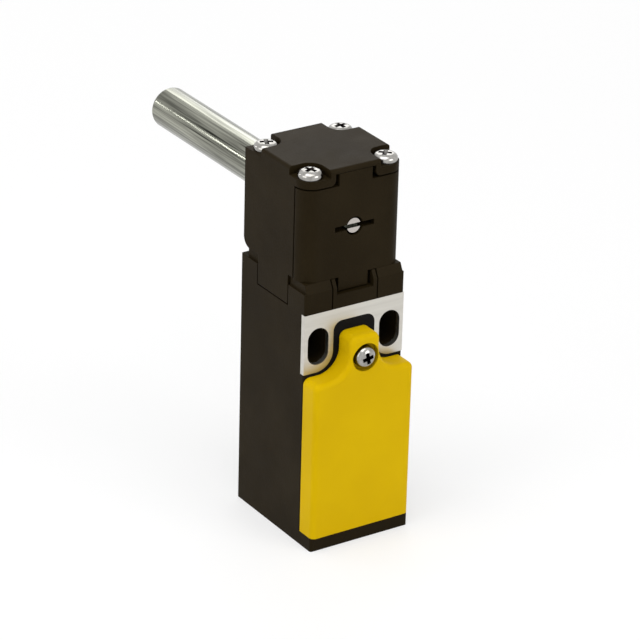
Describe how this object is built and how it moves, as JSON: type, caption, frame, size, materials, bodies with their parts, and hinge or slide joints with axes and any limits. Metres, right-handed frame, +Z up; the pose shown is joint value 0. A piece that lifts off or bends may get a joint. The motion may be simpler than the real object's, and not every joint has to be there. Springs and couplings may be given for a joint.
{
  "type": "safety hinge switch",
  "caption": "Narrow safety switch for a guard's hinge: slotted housing with a wiring cover, and a head whose solid shaft turns a cam that presses a plunger onto the contacts.",
  "frame": {"origin": "on the back mounting face, midway between the two mounting slots", "axes": "+X right and +Z up as one faces the cover, +Y out of the back, along the shaft"},
  "size_m": [0.025, 0.083, 0.0857],
  "materials": {
    "black_plastic": "fine satin",
    "yellow_plastic": "satin",
    "plate_steel": "bright",
    "shaft_steel": "drawn",
    "screw_steel": "plated",
    "spring_steel": "drawn",
    "bearing_bronze": "turned",
    "contact_brass": "stamped",
    "seal_rubber": "matt",
    "pale_plastic": "moulded"
  },
  "bodies": {
    "switch_body": {"housing": "black_plastic", "mounting_plate": "plate_steel", "cover_seal": "seal_rubber", "cover": "yellow_plastic", "cover_screw": "screw_steel", "head_key": "black_plastic", "head_seal": "seal_rubber", "head_block": "black_plastic", "head_shell": "black_plastic", "head_screws": "screw_steel", "front_bush": "bearing_bronze", "rear_bush": "bearing_bronze", "shaft_seal": "seal_rubber", "thrust_washer": "bearing_bronze", "plunger_guide": "bearing_bronze", "contact_block": "pale_plastic", "contact_block_screws": "screw_steel", "fixed_contacts": "contact_brass", "terminal_clamps": "screw_steel", "terminal_screws": "screw_steel", "return_spring": "spring_steel"},
    "hinge_shaft": {"shaft": "shaft_steel", "cam": "shaft_steel", "cam_pin": "shaft_steel", "retaining_clip": "spring_steel"},
    "actuator": {"plunger": "pale_plastic", "contact_carrier": "pale_plastic", "contact_bridges": "contact_brass", "contact_springs": "spring_steel"}
  },
  "joints": [
    {"name": "shaft_turn", "type": "hinge", "parent": "switch_body", "child": "hinge_shaft", "pos_m": [0, 0, 0.02545], "axis": [0, 1, 0], "range_deg": [0, 180]},
    {"name": "plunger_travel", "type": "slide", "parent": "switch_body", "child": "actuator", "axis": [0, 0, -1], "range_m": [0, 0.0024], "deforming": ["return_spring"]}
  ],
  "couplings": [
    {"joint": "plunger_travel", "follows": "shaft_turn", "m_per_rad": 0.00076}
  ]
}
